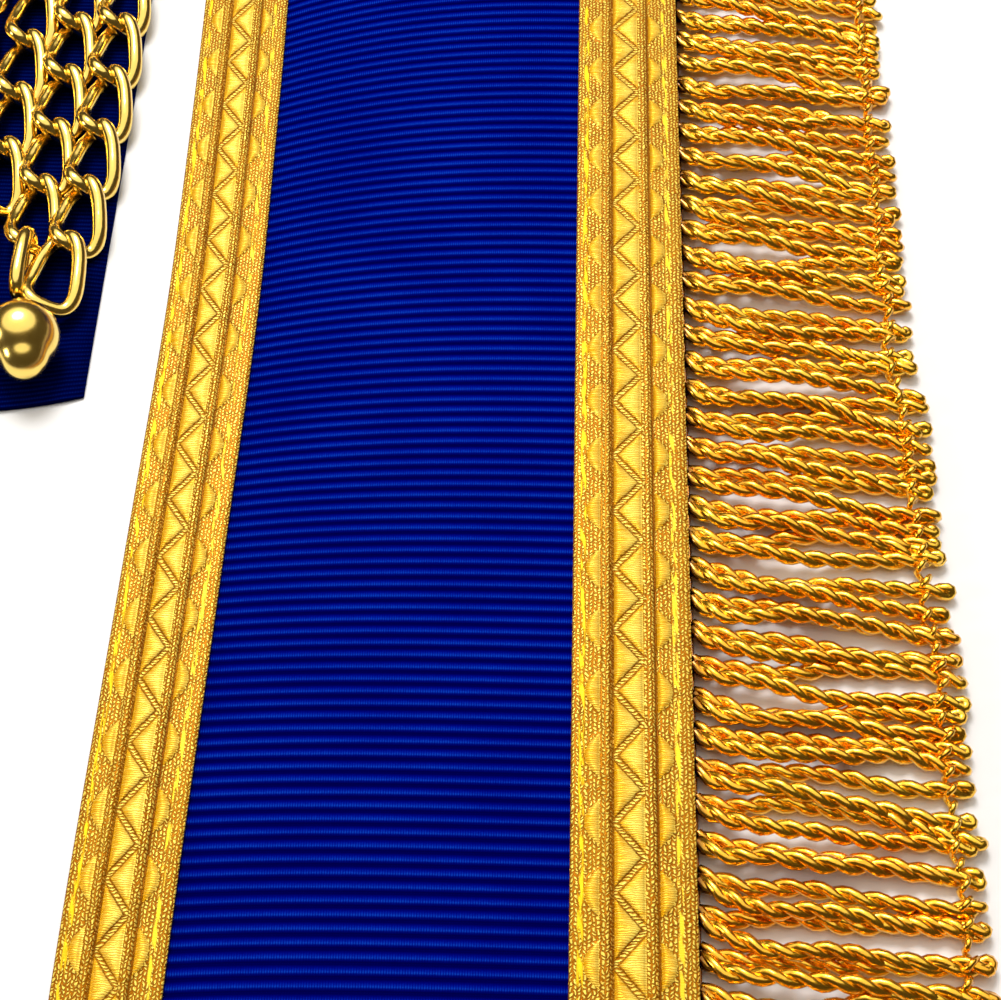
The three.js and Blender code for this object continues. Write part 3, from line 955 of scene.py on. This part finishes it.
def add_spline(curve, run, radius=1.0, closed=False):
    """Add one line of points to a curve."""
    spline = curve.splines.new("POLY")
    spline.points.add(len(run) - 1)
    spline.points.foreach_set("co", np.column_stack([run, np.ones(len(run))]).ravel())
    spline.points.foreach_set("radius", np.full(len(run), radius))
    spline.use_cyclic_u = closed


def mesh_from_curve(curve, name):
    """Turn a curve into a smooth mesh object at the origin."""
    holder = bpy.data.objects.new(f"{name}_curve", curve)
    scene.collection.objects.link(holder)
    graph = bpy.context.evaluated_depsgraph_get()
    mesh = bpy.data.meshes.new_from_object(holder.evaluated_get(graph))
    bpy.data.objects.remove(holder)
    mesh.name = name
    return smooth_object(mesh, name)


# %% [markdown]
# The yarn is a core wound with fine bright wire. Its windings are too fine for geometry, so a
# bump of narrow bands runs round each ply, and the tone drifts from cord to cord between a yellow
# and a deep orange gold. Paler streaks on the plies are partly the wire's own tone and partly a
# painted gleam, and the roots are painted dark with the shade under the braid.

# %% Finish for the fringe
ORANGE_GOLD, YELLOW_GOLD = (0.98, 0.43, 0.010), (1.0, 0.60, 0.035)
WIRE_GLEAM, ROOT_SHADE = (1.0, 0.58, 0.06), (0.22, 0.075, 0.002)
BULLION_GLOSS = {"Roughness": 0.24, "Metallic": 1.0, "Coat Weight": 0.7, "Coat Roughness": 0.06}


def bullion_material():
    material, tree, shader = principled("gold_bullion", BULLION_GLOSS)
    along, around = map_coordinates(tree, "UVMap")
    streak = noise(tree, along * 45.0, around * 9.0, 3.0)
    drift = noise_in_space(tree, 90.0)
    tone = blend(tree, drift.spread(0.3, 0.7), ORANGE_GOLD, YELLOW_GOLD)
    # Paler streaks along the plies, partly the wire's own tone and partly a painted gleam
    tone = blend(tree, streak.spread(0.35, 0.75, 0.0, 0.35), tone, WIRE_GLEAM)
    # Painted shade: the roots and the heading are painted dark, where they come out from under the
    # braid
    x, y = first_two(tree, object_place(tree))
    outside = (x.absolute() - EDGE_X).largest(FOOT_Y - y)
    tone = blend(tree, outside.spread(0.4 * MM, 2.2 * MM), ROOT_SHADE, tone)
    dress(tree, shader, tone, streak, 0.12 * MM, 0.6)
    return material


GOLD_BULLION = bullion_material()
for side in SIDES:
    fringe = make_fringe(side)
    finish_piece(fringe, GOLD_BULLION, f"fringe_{side.name}")
    print(fringe.name, len(fringe.data.polygons), "faces")

# %% [markdown]
# ## Panel, waistband and tassel ribbons
# The panel is soft white leather. It shows only between the borders, smooth and almost without
# grain. The waistband is a plain ribbed band, and the tassel ribbons are a darker blue with much
# finer ribs, cut straight across and sealed at the end.

# %% Make the panel and the narrow ribbons
FINE_PITCH = 1.0 * MM
FINE_RELIEF, BAND_RELIEF = 0.22 * MM, 0.4 * MM
ROLLED_RIM = 0.8 * MM
TASSEL_END_DROP = 2.9 * MM
# The painted shade of the valleys, the middle blue, and the painted highlight of the lit flanks
TASSEL_BLUES = (0.0, 0.0008, 0.035), (0.0, 0.004, 0.13), (0.0012, 0.012, 0.14)
TASSEL_DOTS = 0.5


def leather_material():
    material, tree, shader = principled("white_leather", {"Roughness": 0.6})
    pores = noise_in_space(tree, 900.0, 3.0)
    cloudy = noise_in_space(tree, 40.0, 4.0)
    tone = blend(tree, cloudy, (0.91, 0.905, 0.895), (0.95, 0.95, 0.945))
    dress(tree, shader, tone, pores, 0.03 * MM, 0.4)
    return material


def make_panel():
    bm = flat_strip(PANEL_LOW[:2], PANEL_HIGH[:2], 40, 36)
    piece = as_object(bm, "leather_panel")
    places = points_of(piece.data)
    add_cloth_uv(piece.data, places[:, 0], places[:, 1])
    raise_face(piece, places, PANEL_HIGH.z, PANEL_LOW.z)
    return piece


def make_fine_ribbon(name, node, pitch, relief, ribs_run_up=False, rounded_end=0.0):
    """A plain strip with fine ribs in the space of a node. Its lower end may be rounded."""
    low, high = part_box(node)
    size = (high[0] - low[0], high[1] - low[1])
    run = 0 if ribs_run_up else 1
    length, width = size[run], size[1 - run]
    ribs = round(length / pitch)
    counts = (ribs * 4, 14) if ribs_run_up else (14, ribs * 4)
    piece = as_object(flat_strip(low[:2], high[:2], *counts), name)
    places = points_of(piece.data)
    along = places[:, run] - low[run]
    across = places[:, 1 - run] - low[1 - run]
    woven = along * ribs / length
    add_cloth_uv(piece.data, across / MM, woven)
    rolled = np.clip(np.minimum(across, width - across) / ROLLED_RIM, 0.35, 1)
    top = low[2] + (high[2] - low[2] - relief * (1 - rib_profile(woven))) * rolled
    near_end = np.clip(1 - along / (30 * MM), 0, 1)
    places[:, 1] += rounded_end * ((across / width * 2 - 1) ** 2 * 1.4 - 1) * near_end
    raise_face(piece, places, top, low[2])
    return piece, size


panel = finish_piece(make_panel(), leather_material(), "apron_panel")

DARK_RIBBON = ribbon_material("dark_blue_ribbon", *TASSEL_BLUES, FINE_PITCH / MM, TASSEL_DOTS)
for place in ("left", "right"):
    names = f"tassel_cloth_{place}", f"tassel_ribbon_{place}"
    ribbon, size = make_fine_ribbon(*names, FINE_PITCH, FINE_RELIEF, rounded_end=TASSEL_END_DROP)
    finish_piece(ribbon, DARK_RIBBON, f"tassel_ribbon_{place}")

band, size = make_fine_ribbon("waist_cloth", "waistband", RIB_PITCH, BAND_RELIEF, ribs_run_up=True)
finish_piece(band, BLUE_RIBBON, "waistband")
print("waistband", [round(value, 3) for value in size])

# %% [markdown]
# ## The chains
# A curb link is a long wire ring twisted about the chain's own direction, so that the chain lies
# flat. An array along a curve could repeat one link, but the links at the foot of a tassel each
# differ, so every link is a closed spline with a round bevel, placed in the column it hangs in.

# %% Work out a link
LINK_PITCH = 14.9 * MM
WIRE_RADIUS = 1.54 * MM
CHAIN_Z = TASSEL_HIGH.z + 3.35 * MM
LINK_POINTS = 40


class Link:
    """The shape of one kind of link."""

    def __init__(self, half_width, half_length, twist, turn=0.0, squareness=0.8, pear=0.0):
        self.half_width, self.half_length = half_width, half_length
        self.twist, self.turn = twist, turn
        self.squareness, self.pear = squareness, pear

    def points(self, hand):
        t = np.linspace(0, math.tau, LINK_POINTS, endpoint=False)
        soft = lambda value: np.sign(value) * np.abs(value) ** self.squareness
        reach = self.half_width * soft(np.cos(t)) * (1 - self.pear * soft(np.sin(t)))
        angle = self.turn + hand * self.twist * np.sin(t)
        up = self.half_length * soft(np.sin(t))
        return np.stack([reach * np.cos(angle), up, reach * np.sin(angle)], axis=1)


BALL_RING_LIFT = 1.4 * MM
CURB = Link(3.85 * MM, 8.5 * MM, math.radians(52), squareness=0.62, pear=0.28)
END_LOOP = Link(4.3 * MM, 8.5 * MM, math.radians(31), squareness=0.62, pear=0.2)
BALL_RING = Link(3.0 * MM, 7.2 * MM, 0.0, math.pi / 2)
TOP_RING = Link(3.6 * MM, 4.7 * MM, math.radians(45))
COLUMN_SPACING = 10.4 * MM
FIRST_LINK = 41.7 * MM
LINKS_PER_COLUMN = 5
RING_OVERLAP = 2.2 * MM
RING_X = 10.8 * MM


def ring_height(link_y):
    """The height of a ball's ring that hangs in the foot of a link."""
    return link_y - CURB.half_length + RING_OVERLAP - BALL_RING.half_length


def outer_column(sign):
    """The outermost column, drawn in towards the ball at its foot."""
    for index, shift in enumerate((1.4, 0.6, 0.1, 0, 0)):
        x = sign * (2 * COLUMN_SPACING + (0.3 - shift) * MM)
        yield CURB, x, FIRST_LINK + index * LINK_PITCH, 0.0, 0.0
    yield END_LOOP, sign * 17.4 * MM, FIRST_LINK - LINK_PITCH, 1.0 * MM, -sign * math.radians(4)


def second_column(sign, outwards):
    for index, shift in enumerate((0.7, 0.2, 0, 0, 0)):
        x = sign * (COLUMN_SPACING + outwards - shift * MM)
        yield CURB, x, FIRST_LINK + index * LINK_PITCH, 0.0, 0.0
    yield BALL_RING, sign * RING_X, ring_height(FIRST_LINK), BALL_RING_LIFT, 0.0


def middle_column(outwards):
    first = FIRST_LINK + LINK_PITCH / 2 + 2.2 * MM
    for index in range(LINKS_PER_COLUMN - 1):
        yield CURB, outwards, first + index * LINK_PITCH, 0.0, 0.0
    last = first + (LINKS_PER_COLUMN - 2) * LINK_PITCH
    top = last + CURB.half_length - RING_OVERLAP + TOP_RING.half_length
    yield TOP_RING, outwards, top, 0.0, 0.0
    yield BALL_RING, outwards / 2, ring_height(first), BALL_RING_LIFT, 0.0


def make_column(name, links, hand, centre_x):
    curve = bpy.data.curves.new(name, "CURVE")
    curve.dimensions = "3D"
    curve.bevel_depth = WIRE_RADIUS
    curve.bevel_resolution = 3
    for link, x, y, lift, lean in links:
        points = link.points(hand) @ np.array(Matrix.Rotation(lean, 3, "Z")).T
        points += (centre_x + x, TASSEL_LOW.y + y, CHAIN_Z + lift)
        add_spline(curve, points, closed=True)
    return mesh_from_curve(curve, name)


# %% [markdown]
# The gilding is polished, so its look comes from what it mirrors. A faint ripple in the surface
# and a slight change of roughness break the mirror up, as on pressed and tumbled links.

# %% Finish for the gilt metal
DEEP_GILT, BRIGHT_GILT = (0.96, 0.64, 0.12), (1.0, 0.74, 0.19)


def gilt_material(name, smoothest, roughest):
    material, tree, shader = principled(name, {"Metallic": 1.0, "Coat Weight": 0.4})
    ripple = noise_in_space(tree, 260.0)
    scuffs = noise_in_space(tree, 1400.0, 3.0)
    feed(tree, shader.inputs["Roughness"], scuffs.spread(0.35, 0.75, smoothest, roughest))
    dress(tree, shader, blend(tree, ripple, DEEP_GILT, BRIGHT_GILT), ripple, 0.08 * MM, 0.5)
    return material


GILT = gilt_material("gilt_metal", 0.15, 0.23)
GILT_BALL = gilt_material("gilt_ball", 0.20, 0.23)

# %% [markdown]
# Each tassel has five columns of chain. The two halves of a tassel are mirror images, and so are
# the two tassels, apart from the middle column, which settles a little to the outer side.

# %% Hang the chains
MIDDLE_SHIFT = 2.0
SECOND_SHIFT = {"outer": 1.2, "inner": -0.8}

for place, side_sign in HALVES:
    low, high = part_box(f"tassel_ribbon_{place}")
    centre_x = (low[0] + high[0]) / 2
    columns = [("middle", middle_column(side_sign * MIDDLE_SHIFT * MM), side_sign)]
    for half, sign in (("outer", side_sign), ("inner", -side_sign)):
        columns.append((half, outer_column(sign), sign))
        outwards = SECOND_SHIFT[half] * MM
        columns.append((f"{half}_second", second_column(sign, outwards), sign))
    for column, links, hand in columns:
        name = f"curb_chain_{place}_{column}"
        chain = make_column(name, links, hand, centre_x)
        finish_piece(chain, GILT, f"chain_{place}_{column}")
    print(place, "tassel:", len(columns), "columns")

# %% [markdown]
# ## The balls
# Each ball is turned from one piece: a globe with a small rounded nose below and a short neck
# above. A profile spun round the ball's axis gives that in one step, and a subdivision surface
# keeps the mirror finish free of facets.

# %% Turn the balls
BALL_SPIN_STEPS = 28
GLOBE, NOSE, NOSE_MIDDLE = 7.2, 4.9, -4.6
BALL_OUTWARDS, BALL_ABOVE_NOSE = 1.4 * MM, 7.9 * MM
BALL_SWING = math.radians(13)


def ball_profile():
    """Millimetres from the axis, and height, from the nose to the top of the neck."""
    yield 0.0, NOSE_MIDDLE - NOSE
    for angle in np.radians(range(15, 76, 15)):
        yield NOSE * math.sin(angle), NOSE_MIDDLE - NOSE * math.cos(angle)
    yield 5.12, -5.1
    for angle in np.radians(range(-38, 80, 9)):
        yield GLOBE * math.cos(angle), GLOBE * math.sin(angle)
    yield 1.2, 7.3
    yield 1.15, 8.6
    yield 0.0, 9.0


def make_ball(name, centre, swing):
    bm = bmesh.new()
    rim = [bm.verts.new((radius * MM, height * MM, 0)) for radius, height in ball_profile()]
    edges = [bm.edges.new(pair) for pair in zip(rim, rim[1:])]
    turned = {"axis": (0, 1, 0), "angle": math.tau, "steps": BALL_SPIN_STEPS}
    bmesh.ops.spin(bm, geom=rim + edges, cent=(0, 0, 0), use_merge=True, **turned)
    bmesh.ops.remove_doubles(bm, verts=bm.verts, dist=1e-6)
    bmesh.ops.recalc_face_normals(bm, faces=bm.faces)
    turn = Matrix.Translation(centre) @ Matrix.Rotation(swing, 4, "Z")
    bmesh.ops.transform(bm, matrix=turn, verts=bm.verts)
    ball = as_object(bm, name)
    smooth = ball.modifiers.new("smooth", "SUBSURF")
    smooth.levels = smooth.render_levels = 1
    return ball


for place, side_sign in HALVES:
    for half, sign in (("outer", side_sign), ("middle", 0), ("inner", -side_sign)):
        node = f"ball_{place}_{half}"
        low, high = box_of(node)
        middle = (low + high) / 2
        middle.x += sign * BALL_OUTWARDS
        middle.y = low.y + BALL_ABOVE_NOSE
        ball = make_ball(f"gilt_ball_{place}_{half}", middle, sign * BALL_SWING)
        finish_piece(ball, GILT_BALL, node)
print("balls done")

# %% [markdown]
# ## Chain bars, belt and clasp
# The heads of the chains are held in a plain clamp. The belt is a strap of the same ribbed ribbon.
# It leaves the apron lying flat, turns up on to its edge as it bends round, and meets its other
# half in a plain clasp behind the waist. A flat strip is bent along that route by one formula.

# %% Make the bars and the clasp
def bevelled_block(name, node, width):
    low, high = box_of(node)
    bm = bmesh.new()
    bmesh.ops.create_cube(bm, size=1)
    bmesh.ops.scale(bm, vec=high - low, verts=bm.verts)
    bmesh.ops.translate(bm, vec=(low + high) / 2, verts=bm.verts)
    rounding = {"segments": 4, "profile": 0.5, "material": -1, "clamp_overlap": True}
    bmesh.ops.bevel(bm, geom=bm.edges[:], offset=width, affect="EDGES", **rounding)
    return as_object(bm, name)


for place in ("left", "right"):
    bar = bevelled_block(f"clamp_bar_{place}", f"chain_bar_{place}", 1.2 * MM)
    finish_piece(bar, GILT, f"chain_bar_{place}")

clasp = bevelled_block("plain_clasp", "belt_clasp", 2.0 * MM)
finish_piece(clasp, GILT, "belt_clasp")

# %% [markdown]
# The strap is laid out flat, ribbed, and then carried along its route. A twist of a quarter turn
# takes it from lying flat to standing on its edge.

# %% Bend the belt
BELT_WIDTH = 26 * MM
BELT_THICKNESS = 2 * MM
BELT_LEAD = 22 * MM
BELT_RADIUS = 42 * MM
BELT_FLAT = 8 * MM
BELT_TWIST = 62 * MM
BELT_GAP = 0.3 * MM
BELT_RELIEF = 0.25 * MM
BELT_RIB_PITCH = 1.4 * MM
BELT_START = EDGE_X + BELT_GAP
WAIST_Y = (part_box("waistband")[0][1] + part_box("waistband")[1][1]) / 2
CLASP_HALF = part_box("belt_clasp")[1][0]
BELT_LENGTH = BELT_LEAD + math.pi * BELT_RADIUS + BELT_START + BELT_LEAD - CLASP_HALF - BELT_GAP


def belt_route(distance):
    """The belt's centre line on the right: x, y and heading at each distance along it."""
    turned = np.clip((distance - BELT_LEAD) / BELT_RADIUS, 0, math.pi)
    lead = np.minimum(distance, BELT_LEAD)
    back = np.maximum(distance - BELT_LEAD - math.pi * BELT_RADIUS, 0)
    x = BELT_START + lead + BELT_RADIUS * np.sin(turned) - back
    y = WAIST_Y + BELT_RADIUS * (1 - np.cos(turned))
    return x, y, turned


def make_belt(place, side_sign):
    ribs = round(BELT_LENGTH / BELT_RIB_PITCH)
    bm = flat_strip((0, -BELT_WIDTH / 2), (BELT_LENGTH, BELT_WIDTH / 2), ribs * 4, 5)
    piece = as_object(bm, f"belt_strap_{place}")
    places = points_of(piece.data)
    distance, across = places[:, 0].copy(), places[:, 1].copy()
    woven = distance * ribs / BELT_LENGTH
    add_cloth_uv(piece.data, across / MM, woven)
    through = np.where(places[:, 2] > RAISED / 2, 1, -1)
    through = through * (BELT_THICKNESS / 2 - BELT_RELIEF * (1 - rib_profile(woven)))
    roll = side_sign * ease(np.clip((distance - BELT_FLAT) / BELT_TWIST, 0, 1)) * math.pi / 2
    x, y, heading = belt_route(distance)
    sideways = across * np.cos(roll) - through * np.sin(roll)
    upwards = across * np.sin(roll) + through * np.cos(roll)
    lift = BELT_WIDTH / 2 * np.abs(np.sin(roll)) + BELT_THICKNESS / 2 * np.cos(roll)
    places[:, 0] = side_sign * x - sideways * np.sin(heading)
    places[:, 1] = y + side_sign * sideways * np.cos(heading)
    places[:, 2] = lift + upwards
    set_points(piece.data, places)
    return piece


for place, side_sign in HALVES:
    strap = make_belt(place, side_sign)
    finish_piece(strap, BLUE_RIBBON, f"belt_{place}")
print("belt half length", round(BELT_LENGTH, 3))
